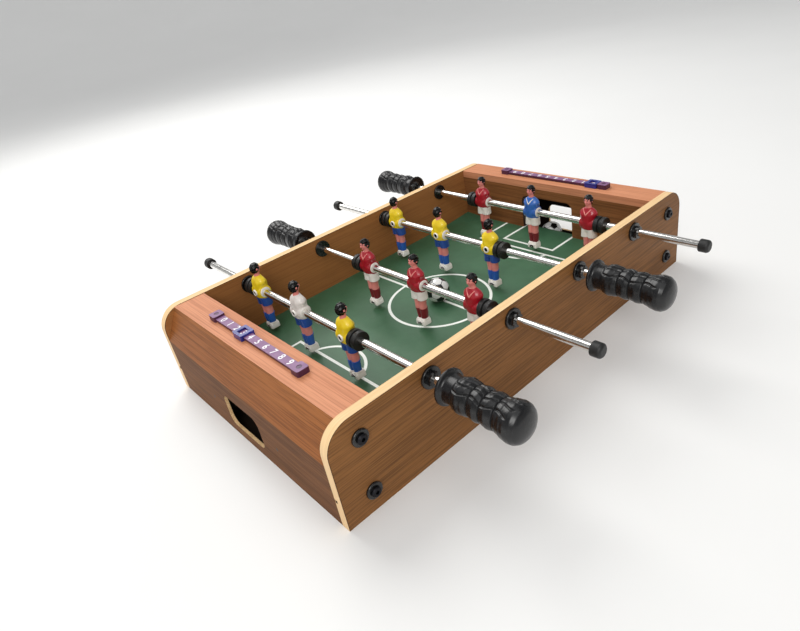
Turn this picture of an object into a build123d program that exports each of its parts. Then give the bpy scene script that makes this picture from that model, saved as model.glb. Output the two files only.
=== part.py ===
from build123d import *
import os

os.makedirs("parts", exist_ok=True)

# A tabletop football game: a four-board wooden cabinet with a sloped box at each end, a pitch
# board let into grooves, four sliding and spinning rods with three players each, a score rail
# at each end and two balls.
# Frame: origin under the centre of the base board, +X along the pitch, +Z up. The front is -Y.
# Lengths are in millimetres.

# Cabinet
LENGTH = 510.0
WIDTH = 304.0
HEIGHT = 96.0
PANEL = 9.0                  # thickness of every thick board
END_SKIN = 3.0               # thickness of the upright end boards
GOAL_BALL_X = 229.5          # where the second ball lies in the right end box
CORNER_RADIUS = 24.0         # upper corners of the side panels
THIN = 3.0                   # pitch board and base board
PITCH_Z = 29.0               # playing surface
GROOVE_DEPTH = 3.0

# End boxes, measured from the middle of the pitch
GOAL_X = 204.0               # goal line face of the goal wall
TOP_EDGE_X = 237.5           # outer edge of the top board
TOP_Z = 95.5                 # upper face of the top board
FOLD_Z = 62.6                # where the sloped board rests on the upright end board
GOAL_HALF = 39.0
GOAL_TOP = 74.5
GOAL_RADIUS = 8.0
EXIT_SIZE = (64.0, 34.5)
EXIT_Z = 28.3
EXIT_RADIUS = 9.0
PARTITION_Y = 59.5
PARTITION_TOP = 60.0
RAMP = (48.0, 38.0, 3.6)     # corner ramp: along the pitch, across it, height

# Cabinet bolts
BOLT_X = 226.0
BOLT_Z = (20.0, 74.0)
BOLT_R = 2.5
BOLT_HOLE_R = 2.6
BOLT_HEAD_R = 4.6
BOLT_HEAD = 2.4
BOLT_END_Y = 133.0
WASHER_R = 7.6
WASHER = 2.2
NUT_R = 3.4
NUT_FLANGE_R = 8.0
NUT_FLANGE = 1.2
NAIL_R = 0.9
NAIL_HEAD_R = 1.7
NAIL_HEAD = 0.8
NAIL_LENGTH = 24.0

# Rods
ROD_Z = 82.0
ROD_SPACING = 101.6
TUBE_R = 4.0
TUBE_BORE_R = 3.4
RUNNING = 0.05               # radial clearance of a running fit
PLAYER_PITCH = 79.0
HUB_HALF = 9.5               # half the width of a player's barrel hub
BUMPER = 12.0
BUMPER_R = 9.3
BUMPER_NECK_R = 7.6
HANDLE_START = 208.5
HANDLE_END = 286.0
TUBE_IN_HANDLE = 276.0
CAP_START = 203.5
CAP_END = 213.5
CAP_R = 6.5
CAP_FLOOR = 2.0

# Rod bushes
BUSH_FLANGE_R = 10.0
BUSH_FLANGE = 2.5
BUSH_SLEEVE_R = 6.5
BUSH_HOLE_R = 6.6
COLLAR = 4.0
RING = 2.0

# Each rod: name, place in the row of four, resting shift along Y, and its three players
RODS = (
    ("left_yellow", -1.5, 36.5, False),
    ("left_red", -0.5, -29.0, True),
    ("right_yellow", 0.5, 39.0, False),
    ("right_red", 1.5, -19.0, True),
)
SEATS = ("front", "middle", "rear")

# Score rails
RAIL_X = 220.5
RAIL_HALF = 80.5
RAIL_STEM = (6.4, 1.4)       # width and height of the narrow foot of the rail
RAIL_HEAD = (9.0, 2.2)       # width and height of the strip that carries the digits
RAIL_BLOCK = (12.0, 12.0, 5.6)
DIGIT_STEP = 13.3
SLIDER_LENGTH = 16.0
SLIDER_WIDTH = 14.5
SLIDER_HEIGHT = 5.4
SLIDER_GAP = 0.3
SLIDER_WINDOW = 8.4
RAIL_SCREW_R = 1.1
RAIL_SCREW_HEAD_R = 2.6

BALL_R = 14.0

INNER_Y = WIDTH / 2 - PANEL
OUTER_Y = WIDTH / 2
END_X = LENGTH / 2
END_INNER_X = END_X - END_SKIN
GOAL_BACK_X = GOAL_X + PANEL
ENDS = (("left", -1), ("right", 1))


def block(x, y, z):
    """A box between two limits on each axis."""
    size = [high - low for low, high in (x, y, z)]
    middle = [(low + high) / 2 for low, high in (x, y, z)]
    return Pos(*middle) * Box(*size)


def along_y(radius, y0, y1, x=0.0, z=0.0):
    """A round bar parallel to Y."""
    return Pos(x, (y0 + y1) / 2, z) * Rot(90, 0, 0) * Cylinder(radius, abs(y1 - y0))


def along_x(radius, x0, x1, y=0.0, z=0.0):
    """A round bar parallel to X."""
    return Pos((x0 + x1) / 2, y, z) * Rot(0, 90, 0) * Cylinder(radius, abs(x1 - x0))


def prism_y(points, y0, y1):
    """A closed X-Z outline swept from y0 to y1."""
    outline = make_face(Polyline([(x, y0, z) for x, z in points], close=True))
    return extrude(outline, y1 - y0, dir=(0, 1, 0))


def join(shapes):
    """Separate solids gathered into one node."""
    return Compound(children=list(shapes))


def at_end(shape, side):
    """A shape modelled for the right-hand end, turned about Z for the left-hand end."""
    if side > 0:
        return shape
    return Rot(0, 0, 180) * shape


def four_corners(shape):
    """A front-right shape repeated at the four corners by mirroring."""
    rear = mirror(shape, about=Plane.XZ)
    return [shape, rear, mirror(shape, about=Plane.YZ), mirror(rear, about=Plane.YZ)]


# ---- Cabinet -------------------------------------------------------------------------------

def side_panel(side):
    """A side panel with rounded upper corners, rod holes, bolt holes and the pitch groove."""
    y0, y1 = sorted((side * INNER_Y, side * OUTER_Y))
    panel = block((-END_X, END_X), (y0, y1), (0, HEIGHT))
    top_corners = panel.edges().filter_by(Axis.Y).sort_by(Axis.Z)[-2:]
    panel = fillet(top_corners, CORNER_RADIUS)
    groove_y = sorted((side * (INNER_Y - 1), side * (INNER_Y + GROOVE_DEPTH)))
    panel -= block((-END_X - 1, END_X + 1), groove_y, (PITCH_Z - THIN, PITCH_Z))
    for _, place, _, _ in RODS:
        panel -= along_y(BUSH_HOLE_R, y0 - 1, y1 + 1, place * ROD_SPACING, ROD_Z)
    for x in (-BOLT_X, BOLT_X):
        for z in BOLT_Z:
            panel -= along_y(BOLT_HOLE_R, y0 - 1, y1 + 1, x, z)
    return panel


def slope_lines():
    """The lower corners of the sloped board, as X-Z points: at the mitre and at the end board."""
    run = END_X - TOP_EDGE_X
    drop = TOP_Z - FOLD_Z
    shift = PANEL * (run ** 2 + drop ** 2) ** 0.5 / drop   # the board's thickness along X
    inner_top = (TOP_EDGE_X + run * PANEL / drop - shift, TOP_Z - PANEL)
    return inner_top, (END_X - shift, FOLD_Z)


INNER_TOP, INNER_FOLD = slope_lines()


def top_board():
    outline = [(GOAL_X, TOP_Z), (TOP_EDGE_X, TOP_Z), INNER_TOP, (GOAL_X, TOP_Z - PANEL)]
    board = prism_y(outline, -INNER_Y, INNER_Y)
    return board - join(rail_screw(y) for y in SCREW_YS)


def slope_board():
    outline = [(TOP_EDGE_X, TOP_Z), (END_X, FOLD_Z), INNER_FOLD, INNER_TOP]
    return prism_y(outline, -INNER_Y, INNER_Y)


def end_board():
    """The upright end board with the ball exit."""
    board = block((END_INNER_X, END_X), (-INNER_Y, INNER_Y), (0, FOLD_Z))
    exit_outline = Pos(0, EXIT_Z) * RectangleRounded(*EXIT_SIZE, EXIT_RADIUS)
    board -= extrude(Plane.YZ.offset(END_INNER_X - 1) * exit_outline, END_SKIN + 2)
    return board - join(end_nail(y) for y in (-PARTITION_Y, PARTITION_Y))


def goal_wall():
    """The wall behind the goal line, with the goal mouth open down to the pitch."""
    wall = block((GOAL_X, GOAL_BACK_X), (-INNER_Y, INNER_Y), (PITCH_Z, TOP_Z - PANEL))
    mouth = block((GOAL_X - 1, GOAL_BACK_X + 1), (-GOAL_HALF, GOAL_HALF), (PITCH_Z - 1, GOAL_TOP))
    upper = mouth.edges().filter_by(Axis.X).sort_by(Axis.Z)[-2:]
    return wall - fillet(upper, GOAL_RADIUS)


def box_cheek():
    """The board that closes the front of the right-hand box and takes its two bolts."""
    low_top = TOP_Z - PANEL
    outline = [(GOAL_BACK_X, THIN), (END_INNER_X, THIN), (END_INNER_X, FOLD_Z), INNER_FOLD,
               INNER_TOP, (GOAL_BACK_X, low_top)]
    cheek = prism_y(outline, -INNER_Y, -INNER_Y + PANEL)
    for z in BOLT_Z:
        cheek -= along_y(NUT_R, -INNER_Y - 1, -INNER_Y + PANEL + 1, BOLT_X, z)
    return cheek


def box_partition():
    """A board beside the goal that keeps the ball near the exit."""
    y0 = -PARTITION_Y - PANEL / 2
    board = block((GOAL_BACK_X, END_INNER_X), (y0, y0 + PANEL), (THIN, PARTITION_TOP))
    return board - end_nail(-PARTITION_Y)


def corner_ramp():
    """A low wedge that turns a slow ball out of the front right corner."""
    length, across, height = RAMP
    corner = Vector(GOAL_X, -INNER_Y, PITCH_Z)
    peak = corner + Vector(0, 0, height)
    along = corner - Vector(length, 0, 0)
    over = corner + Vector(0, across, 0)
    faces = [
        make_face(Polyline(corner, along, over, close=True)),
        make_face(Polyline(corner, along, peak, close=True)),
        make_face(Polyline(corner, over, peak, close=True)),
        make_face(Polyline(along, over, peak, close=True)),
    ]
    return Solid(Shell(faces))


# ---- Fasteners and bushes --------------------------------------------------------------------

def end_nail(y):
    """A headed nail through the right-hand end board at height PITCH_Z."""
    head = along_x(NAIL_HEAD_R, END_X - NAIL_HEAD, END_X, y, PITCH_Z)
    return head + along_x(NAIL_R, END_X - NAIL_LENGTH, END_X, y, PITCH_Z)


def cabinet_bolt(z):
    """A button-head bolt through the front panel into the right-hand cheek."""
    face = -OUTER_Y - WASHER
    head = along_y(BOLT_HEAD_R, face - BOLT_HEAD, face, BOLT_X, z)
    head = chamfer(head.edges().group_by(Axis.Y)[0], 0.9)
    shank = along_y(BOLT_R, face, -BOLT_END_Y, BOLT_X, z)
    key_plane = Plane(origin=(BOLT_X, face - BOLT_HEAD, z), z_dir=(0, 1, 0))
    return head + shank - extrude(key_plane * RegularPolygon(1.9, 6), 1.6)


def bolt_washer(z):
    """A round cup washer under a bolt head."""
    disc = along_y(WASHER_R, -OUTER_Y - WASHER, -OUTER_Y, BOLT_X, z)
    disc = fillet(disc.edges().group_by(Axis.Y)[0], 1.2)
    return disc - along_y(BOLT_HOLE_R, -OUTER_Y - WASHER - 1, -OUTER_Y + 1, BOLT_X, z)


def tee_nut(z):
    """A flanged insert nut in the cheek, entered from inside the box."""
    inside = -INNER_Y + PANEL
    nut = along_y(NUT_R, -INNER_Y + 1, inside, BOLT_X, z)
    nut += along_y(NUT_FLANGE_R, inside, inside + NUT_FLANGE, BOLT_X, z)
    return nut - along_y(BOLT_R, -OUTER_Y, -BOLT_END_Y + 2, BOLT_X, z)


def rod_bush(x):
    """A flanged bush in the front panel, with its split collar outside."""
    end = -OUTER_Y - BUSH_FLANGE
    bush = along_y(BUSH_FLANGE_R, end, -OUTER_Y, x, ROD_Z)
    bush = fillet(bush.edges().group_by(Axis.Y)[0], 1.0)
    bush += along_y(BUSH_SLEEVE_R, end - COLLAR, -INNER_Y + RING, x, ROD_Z)
    bush -= along_y(TUBE_R + RUNNING, end - COLLAR - 1, -INNER_Y + RING + 1, x, ROD_Z)
    slit = block((x - 0.5, x + 0.5), (end - COLLAR - 1, end), (ROD_Z, ROD_Z + BUSH_FLANGE_R))
    return bush - slit


def bush_ring(x):
    """The push-on ring that holds a bush from inside the cabinet."""
    ring = along_y(BUSH_FLANGE_R, -INNER_Y, -INNER_Y + RING, x, ROD_Z)
    ring = fillet(ring.edges().group_by(Axis.Y)[-1], 0.8)
    return ring - along_y(BUSH_SLEEVE_R, -INNER_Y - 1, -INNER_Y + RING + 1, x, ROD_Z)


# ---- Score rails -----------------------------------------------------------------------------

SCREW_YS = (-RAIL_HALF + RAIL_BLOCK[1] / 2, RAIL_HALF - RAIL_BLOCK[1] / 2)
BLOCK_Z = TOP_Z + RAIL_BLOCK[2]


def rail_screw(y):
    """A countersunk-style screw through a rail's end block into the top board."""
    head = Pos(RAIL_X, y, BLOCK_Z - 0.8) * Cylinder(RAIL_SCREW_HEAD_R, 1.0)
    depth = BLOCK_Z - TOP_Z + PANEL - 2
    shank = Pos(RAIL_X, y, BLOCK_Z - 0.8 - depth / 2) * Cylinder(RAIL_SCREW_R, depth)
    return head + shank


def score_rail():
    """A rail of narrow foot and wide head between two raised end blocks."""
    inner = RAIL_HALF - RAIL_BLOCK[1]
    stem_z = TOP_Z + RAIL_STEM[1]
    stem_xs = (RAIL_X - RAIL_STEM[0] / 2, RAIL_X + RAIL_STEM[0] / 2)
    head_xs = (RAIL_X - RAIL_HEAD[0] / 2, RAIL_X + RAIL_HEAD[0] / 2)
    rail = block(stem_xs, (-inner, inner), (TOP_Z, stem_z))
    rail += block(head_xs, (-inner, inner), (stem_z, stem_z + RAIL_HEAD[1]))
    for y in SCREW_YS:
        end = Pos(RAIL_X, y, TOP_Z + RAIL_BLOCK[2] / 2) * Box(*RAIL_BLOCK)
        end = fillet(end.edges().filter_by(Axis.Z), 2.0)
        rail += end
        rail -= rail_screw(y)
        rail -= Pos(RAIL_X, y, BLOCK_Z) * Cylinder(RAIL_SCREW_HEAD_R, 1.0)
    return rail


def score_slider(y):
    """A square frame that clips round the rail's head, with a window over one digit."""
    half = SLIDER_LENGTH / 2
    middle = TOP_Z + SLIDER_GAP + SLIDER_HEIGHT / 2
    slider = Pos(RAIL_X, y, middle) * Box(SLIDER_WIDTH, SLIDER_LENGTH, SLIDER_HEIGHT)
    slider = fillet(slider.edges().filter_by(Axis.Z), 1.2)
    stem_half = RAIL_STEM[0] / 2 + SLIDER_GAP
    head_half = RAIL_HEAD[0] / 2 + SLIDER_GAP
    stem_z = TOP_Z + RAIL_STEM[1]
    span = (y - half - 1, y + half + 1)
    slider -= block((RAIL_X - stem_half, RAIL_X + stem_half), span, (TOP_Z - 1, stem_z))
    head_z = (stem_z - SLIDER_GAP, stem_z + RAIL_HEAD[1] + SLIDER_GAP)
    slider -= block((RAIL_X - head_half, RAIL_X + head_half), span, head_z)
    window = Pos(RAIL_X, y, TOP_Z + SLIDER_HEIGHT) * Box(SLIDER_WINDOW, SLIDER_WINDOW, 2 * SLIDER_HEIGHT)
    return slider - window


# ---- Rods, each modelled with its handle towards -Y and its players facing +X ------------------

def rod_tube():
    """The steel tube, cross-drilled for the three player screws."""
    tube = along_y(TUBE_R, -TUBE_IN_HANDLE, CAP_END - CAP_FLOOR)
    tube -= along_y(TUBE_BORE_R, -TUBE_IN_HANDLE - 1, CAP_END)
    for seat in (-1, 0, 1):
        tube -= player_screw(seat)
    return tube


def rod_cap():
    """A domed rubber cap on the rod's free end."""
    cap = along_y(CAP_R, CAP_START, CAP_END)
    cap = fillet(cap.edges().group_by(Axis.Y)[-1], 3.0)
    cap = fillet(cap.edges().group_by(Axis.Y)[0], 0.8)
    return cap - along_y(TUBE_R, CAP_START - 1, CAP_END - CAP_FLOOR)


def rod_bumpers():
    """Two grooved rubber rings, one outboard of each outer player."""
    start = PLAYER_PITCH + HUB_HALF
    disc = 5.0
    ring = along_y(BUMPER_NECK_R, start, start + BUMPER)
    for y in (start, start + BUMPER - disc):
        wheel = along_y(BUMPER_R, y, y + disc)
        ring += fillet(wheel.edges(), 0.8)
    ring -= along_y(TUBE_R + RUNNING, start - 1, start + BUMPER + 1)
    return join([ring, mirror(ring, about=Plane.XZ)])


def grip_handle():
    """The handle: flange, collar, three finger bulges and a rounded end."""
    profile = [
        (0.0, 15.6), (2.6, 15.6), (4.2, 12.4), (11.5, 12.0), (19.5, 15.2), (29.0, 12.9),
        (35.0, 14.9), (41.0, 13.0), (47.2, 15.0), (53.8, 13.4), (65.0, 16.6),
    ]
    end = HANDLE_END - HANDLE_START
    outline = [(radius, -HANDLE_START - at) for at, radius in profile]
    wave = Spline(outline[3:], tangents=[(0, -1), (0, -1)])
    nose = Spline([outline[-1], (11.6, -HANDLE_START - end + 3.6), (0, -HANDLE_START - end)],
                  tangents=[(0, -1), (-1, 0)])
    straight = Polyline([(0, -HANDLE_START - end), (0, -HANDLE_START)] + outline[:4])
    half = make_face(Curve() + [straight, wave, nose])
    handle = revolve(half, Axis.Y)
    return handle - along_y(TUBE_R, -TUBE_IN_HANDLE, -HANDLE_START + 1)


def player():
    """One moulded player on the rod axis at the origin, facing +X."""
    head = Pos(0.4, 0, 27.3) * scale(Sphere(1), by=(5.7, 5.3, 6.3))
    neck = Pos(0, 0, 19.5) * Cylinder(3.1, 9)
    # Height, depth and width of each section of the trunk and of the legs
    trunk = [(-7, 11, 16), (1, 13.4, 17.4), (8, 12.4, 17.9), (14, 10.6, 19), (18, 7, 10)]
    legs = [(-41.5, 8, 11), (-27, 8.2, 11.6), (-16, 9.6, 13.8), (-5, 11.5, 15.5)]
    body = head + neck
    for sections in (trunk, legs):
        body += loft([Pos(0, 0, z) * Ellipse(depth / 2, width / 2) for z, depth, width in sections])
    body += along_y(7.8, -HUB_HALF, HUB_HALF)
    foot = Pos(0.6, 0, -44.1) * Box(10.6, 13.4, 6.8)
    body += foot - along_x(2.4, -8, 8, 0, -47.9)
    body -= along_y(TUBE_R, -HUB_HALF - 1, HUB_HALF + 1)
    return body - screw_body()


def screw_body():
    """A player screw on the X axis: head in the player's back, shank through the tube."""
    return along_x(2.3, -8.2, -5.4) + along_x(1.25, -5.4, 5.6)


def player_screw(seat):
    return Pos(0, seat * PLAYER_PITCH, 0) * screw_body()


def rod_parts(shape, place, shift, turned):
    """Moves a rod piece from its modelling place to its place in the cabinet."""
    turn = 180 if turned else 0
    return Pos(place * ROD_SPACING, shift, ROD_Z) * Rot(0, 0, turn) * shape


# ---- Nodes -----------------------------------------------------------------------------------

nodes = {"side_panel_front": side_panel(-1), "side_panel_rear": side_panel(1)}
BOARDS = (("end_board", end_board()), ("slope_board", slope_board()), ("top_board", top_board()),
          ("goal_wall", goal_wall()), ("score_rail", score_rail()))
for name, shape in BOARDS:
    for end, side in ENDS:
        nodes[f"{name}_{end}"] = at_end(shape, side)

pitch_y = INNER_Y + GROOVE_DEPTH
pitch_z = (PITCH_Z - THIN, PITCH_Z)
nodes["pitch_board"] = block((-GOAL_BACK_X, GOAL_BACK_X), (-pitch_y, pitch_y), pitch_z)
nodes["base_board"] = block((-END_INNER_X, END_INNER_X), (-INNER_Y, INNER_Y), (0, THIN))
nodes["box_cheeks"] = join(four_corners(box_cheek()))
nodes["box_partitions"] = join(four_corners(box_partition()))
nodes["corner_ramps"] = join(four_corners(corner_ramp()))
nodes["end_nails"] = join(four_corners(end_nail(-PARTITION_Y)))

BOLTED = (("cabinet_bolts", cabinet_bolt), ("bolt_washers", bolt_washer), ("tee_nuts", tee_nut))
for name, make in BOLTED:
    nodes[name] = join(solid for z in BOLT_Z for solid in four_corners(make(z)))

rod_xs = [place * ROD_SPACING for _, place, _, _ in RODS]
for name, make in (("rod_bushes", rod_bush), ("bush_rings", bush_ring)):
    front = [make(x) for x in rod_xs]
    nodes[name] = join(front + [mirror(solid, about=Plane.XZ) for solid in front])

nodes["score_rail_screws"] = join(at_end(rail_screw(y), side) for _, side in ENDS for y in SCREW_YS)
# The left rail reads 3 and the right rail reads 0, in each end's own sense
nodes["score_slider_left"] = at_end(score_slider(-1.5 * DIGIT_STEP), -1)
nodes["score_slider_right"] = score_slider(-4.5 * DIGIT_STEP)

nodes["ball_pitch"] = Pos(-3, -2, PITCH_Z + BALL_R) * Sphere(BALL_R)
nodes["ball_goal"] = Pos(GOAL_BALL_X, 12, THIN + BALL_R) * Sphere(BALL_R)

COMMON = (("rod_tube", rod_tube()), ("rod_cap", rod_cap()), ("rod_bumpers", rod_bumpers()),
          ("handle", grip_handle()))
one_player = player()
for rod, place, shift, turned in RODS:
    for name, shape in COMMON:
        nodes[f"{name}_{rod}"] = rod_parts(shape, place, shift, turned)
    screws = join(player_screw(seat) for seat in (-1, 0, 1))
    nodes[f"player_screws_{rod}"] = rod_parts(screws, place, shift, turned)
    for seat, where in zip((-1, 0, 1), SEATS):
        lengthwise = -seat if turned else seat
        stood = Pos(0, lengthwise * PLAYER_PITCH, 0) * one_player
        nodes[f"player_{rod}_{where}"] = rod_parts(stood, place, shift, turned)

for name, shape in nodes.items():
    export_step(shape, f"parts/{name}.step")
print(len(nodes), "nodes")
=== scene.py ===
import math

import bmesh
import bpy
from mathutils import Euler, Matrix, Vector, noise


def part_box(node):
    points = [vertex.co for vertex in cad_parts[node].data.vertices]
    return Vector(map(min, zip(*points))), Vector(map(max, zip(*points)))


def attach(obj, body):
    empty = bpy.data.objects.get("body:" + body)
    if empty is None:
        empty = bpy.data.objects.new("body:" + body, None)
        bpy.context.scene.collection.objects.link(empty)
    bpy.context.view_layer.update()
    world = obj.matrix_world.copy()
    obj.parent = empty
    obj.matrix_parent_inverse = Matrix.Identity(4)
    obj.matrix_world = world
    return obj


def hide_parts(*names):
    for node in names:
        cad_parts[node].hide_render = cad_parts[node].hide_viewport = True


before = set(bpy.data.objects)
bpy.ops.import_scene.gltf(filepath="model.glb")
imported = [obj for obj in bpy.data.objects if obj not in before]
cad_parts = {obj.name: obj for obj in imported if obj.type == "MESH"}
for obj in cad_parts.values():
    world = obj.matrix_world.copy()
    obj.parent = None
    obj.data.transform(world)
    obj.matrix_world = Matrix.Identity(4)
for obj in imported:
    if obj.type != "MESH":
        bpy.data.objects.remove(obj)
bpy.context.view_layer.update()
scene = bpy.context.scene
MM = 0.001
TAU = 2 * math.pi


# ---- Shader nodes written as arithmetic ----------------------------------------------------------

def srgb(red, green, blue):
    """A colour given as screen values from 0 to 255."""
    linear = []
    for value in (red, green, blue):
        v = value / 255
        linear.append(v / 12.92 if v <= 0.04045 else ((v + 0.055) / 1.055) ** 2.4)
    return (*linear, 1.0)


class Num:
    """A number carried by a node socket, with ordinary arithmetic."""

    def __init__(self, paint, socket):
        self.paint = paint
        self.socket = socket

    def do(self, operation, *others):
        return self.paint.math(operation, self, *others)

    def __add__(self, other):
        return self.do("ADD", other)

    def __sub__(self, other):
        return self.do("SUBTRACT", other)

    def __mul__(self, other):
        return self.do("MULTIPLY", other)

    def __abs__(self):
        return self.do("ABSOLUTE")

    def most(self, other):
        return self.do("MAXIMUM", other)

    def least(self, other):
        return self.do("MINIMUM", other)

    def hypot(self, other):
        return (self * self + other * other).do("SQRT")

    def fade(self, low, high):
        """0 below low and 1 above high, smooth between; low may be the larger."""
        return self.paint.fade(self, low, high)


class Paint:
    """A material and short ways to add nodes to it. Coordinates are the piece's own, in metres."""

    def __init__(self, name, **values):
        self.material = bpy.data.materials.new(name)
        self.material.use_nodes = True
        self.tree = self.material.node_tree
        self.shader = self.tree.nodes["Principled BSDF"]
        for key, value in values.items():
            self.shader.inputs[key.replace("_", " ")].default_value = value
        coords = self.node("ShaderNodeTexCoord")
        self.place = coords.outputs["Object"]
        split = self.node("ShaderNodeSeparateXYZ", Vector=self.place)
        self.x, self.y, self.z = (Num(self, split.outputs[k]) for k in "XYZ")
        facing = self.node("ShaderNodeSeparateXYZ", Vector=coords.outputs["Normal"])
        self.nx, self.ny, self.nz = (Num(self, facing.outputs[k]) for k in "XYZ")

    def node(self, kind, settings=None, **inputs):
        made = self.tree.nodes.new(kind)
        for key, value in (settings or {}).items():
            setattr(made, key, value)
        for key, value in inputs.items():
            self.feed(made.inputs[key.replace("_", " ")], value)
        return made

    def feed(self, socket, value):
        if isinstance(value, Num):
            value = value.socket
        if isinstance(value, bpy.types.NodeSocket):
            self.tree.links.new(value, socket)
        else:
            socket.default_value = value

    def math(self, operation, *values):
        made = self.node("ShaderNodeMath", {"operation": operation})
        for socket, value in zip(made.inputs, values):
            self.feed(socket, value)
        return Num(self, made.outputs[0])

    def fade(self, value, low, high):
        made = self.node("ShaderNodeMapRange", {"interpolation_type": "SMOOTHSTEP"})
        self.feed(made.inputs["Value"], value)
        flip = low > high
        made.inputs["From Min"].default_value = min(low, high)
        made.inputs["From Max"].default_value = max(low, high)
        made.inputs["To Min"].default_value = float(flip)
        made.inputs["To Max"].default_value = float(not flip)
        return Num(self, made.outputs["Result"])

    def noise(self, size, detail=3.0, roughness=0.55, distortion=0.0):
        """Noise whose features are size metres long on each axis: one number, or three."""
        sizes = size if isinstance(size, tuple) else (size,) * 3
        scaled = self.node("ShaderNodeVectorMath", {"operation": "MULTIPLY"})
        self.feed(scaled.inputs[0], self.place)
        scaled.inputs[1].default_value = [1 / s for s in sizes]
        made = self.node(
            "ShaderNodeTexNoise",
            Vector=scaled.outputs[0],
            Scale=1.0,
            Detail=detail,
            Roughness=roughness,
            Distortion=distortion,
        )
        return Num(self, made.outputs["Fac"])

    def mix(self, share, first, second):
        """A colour between first and second. Colour sockets come after the number ones."""
        made = self.node("ShaderNodeMix", {"data_type": "RGBA"})
        self.feed(made.inputs[0], share)
        self.feed(made.inputs[6], first)
        self.feed(made.inputs[7], second)
        return made.outputs[2]

    def colour(self, value):
        self.feed(self.shader.inputs["Base Color"], value)

    def rough(self, value):
        self.feed(self.shader.inputs["Roughness"], value)

    def bump(self, height, distance, strength=1.0):
        made = self.node("ShaderNodeBump", Height=height, Distance=distance, Strength=strength)
        self.tree.links.new(made.outputs["Normal"], self.shader.inputs["Normal"])


# ---- Wood ----------------------------------------------------------------------------------------

# In metres: the side panels' rounded corner, inner face and groove, and the goal walls' hidden side
PANEL_CORNER = 0.024
PANEL_INNER_Y = 0.144
PANEL_GROOVE_Z = 0.0275
PANEL_GROOVE_HALF = 0.00159
PANEL_GROOVE_Y = 0.1462
GOAL_WALL_BACK = 0.2127

# Painted shade: the near black put on boards and faces inside the end boxes
BOX_SHADE = srgb(30, 22, 17)


def wood(paint, axis, light, dark, streak, contrast):
    """A straight-grained board colour, with the grain along one axis, as (colour, grain height)."""
    def along(length, width):
        return tuple(length if k == axis else width for k in "xyz")
    broad = paint.noise(along(0.30, 0.020), 3.0, 0.55, 0.3)
    lines = paint.noise(along(0.12, 0.0019), 2.0, 0.5)
    threads = paint.noise(along(0.06, 0.0010), 2.0, 0.5)
    pores = paint.noise(along(0.020, 0.0006), 2.0, 0.6)
    tone = paint.mix(broad.fade(0.30, 0.72) * 0.7, light, dark)
    tone = paint.mix(lines.fade(0.46, 0.62) * (0.42 * contrast), tone, streak)
    tone = paint.mix(threads.fade(0.50, 0.62) * (0.46 * contrast), tone, streak)
    tone = paint.mix(pores.fade(0.58, 0.74) * (0.34 * contrast), tone, streak)
    return tone, pores * 0.6 + lines * 0.4


def board(name, axis, light, dark, streak, gloss, contrast):
    """A new wooden paint, with its colour and grain height."""
    paint = Paint(name, Roughness=gloss, Specular_IOR_Level=0.16)
    tone, height = wood(paint, axis, light, dark, streak, contrast)
    return paint, tone, height


def raw_edge(paint, light, dark):
    """The cut edge of a particle board: chips of several tones."""
    chips = paint.noise(0.0013, 4.0, 0.7)
    return paint.mix(chips.fade(0.34, 0.66), dark, light)


def panel_finish():
    """Foil on the broad faces, a pale band round the edges, a dark line where they meet, and painted shade on
    the walls of the groove.
    """
    paint, tone, height = board(
        "walnut_board", "x", srgb(144, 97, 53), srgb(126, 84, 45), srgb(64, 40, 20), 0.5, 0.85
    )
    inside = abs(paint.y).fade(PANEL_INNER_Y + 0.0005, PANEL_INNER_Y - 0.0005)
    tone = paint.mix(inside * 0.42, tone, srgb(190, 126, 74))
    cream = paint.noise((0.05, 0.0016, 0.05), 3.0, 0.6)
    band = paint.mix(cream.fade(0.3, 0.7), srgb(244, 210, 160), srgb(232, 194, 144))
    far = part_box("side_panel_front")[1]
    past_x = (abs(paint.x) - (far.x - PANEL_CORNER)).most(0.0)
    past_z = (paint.z - (far.z - PANEL_CORNER)).most(0.0)
    rim = past_x.hypot(past_z).fade(PANEL_CORNER - 0.0011, PANEL_CORNER - 0.0003)
    tone = paint.mix(rim * 0.75, tone, srgb(60, 34, 18))
    face = abs(paint.ny).fade(0.55, 0.75)
    # Painted shade: the walls of the groove that holds the pitch board are near-black brown.
    level = abs(paint.z - PANEL_GROOVE_Z).fade(PANEL_GROOVE_HALF + 0.00003, PANEL_GROOVE_HALF - 0.00003)
    depth = abs(paint.y).fade(PANEL_GROOVE_Y + 0.0001, PANEL_GROOVE_Y - 0.0001)
    edge = paint.mix(level * depth, band, srgb(44, 28, 18))
    paint.colour(paint.mix(face, edge, tone))
    paint.rough(height.fade(0.2, 0.8) * 0.12 + 0.42)
    paint.bump(height * face, 0.00018, 0.5)
    return paint.material


def facing_in(paint):
    """1 on faces that look towards the middle of the table."""
    return (paint.nx * paint.x * -100).fade(1.0, 3.0)


def behind_goal(paint):
    """1 past the goal wall, inside the end boxes."""
    return abs(paint.x).fade(GOAL_WALL_BACK - 0.0002, GOAL_WALL_BACK + 0.0002)


def end_finish(name, top_foil, light, dark, streak, edge_tones, gloss, contrast, painted_shade_at=None):
    """Foil on faces along X, and on level ones where top_foil is 1. Cut board elsewhere, with near-black
    painted shade inside the end boxes, where the mask given as the last argument is 1.
    """
    paint, tone, height = board(name, "y", light, dark, streak, gloss, contrast)
    edge = raw_edge(paint, *edge_tones)
    face = abs(paint.nx).most(abs(paint.nz) * top_foil).fade(0.45, 0.6)
    shown = paint.mix(face, edge, tone)
    # Painted shade: near black on the faces inside the end boxes.
    if painted_shade_at:
        shown = paint.mix(painted_shade_at(paint), shown, BOX_SHADE)
    paint.colour(shown)
    paint.rough(height * 0.15 + (gloss - 0.07))
    paint.bump(height, 0.00015, 0.5)
    return paint.material


# ---- Pitch ---------------------------------------------------------------------------------------

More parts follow.
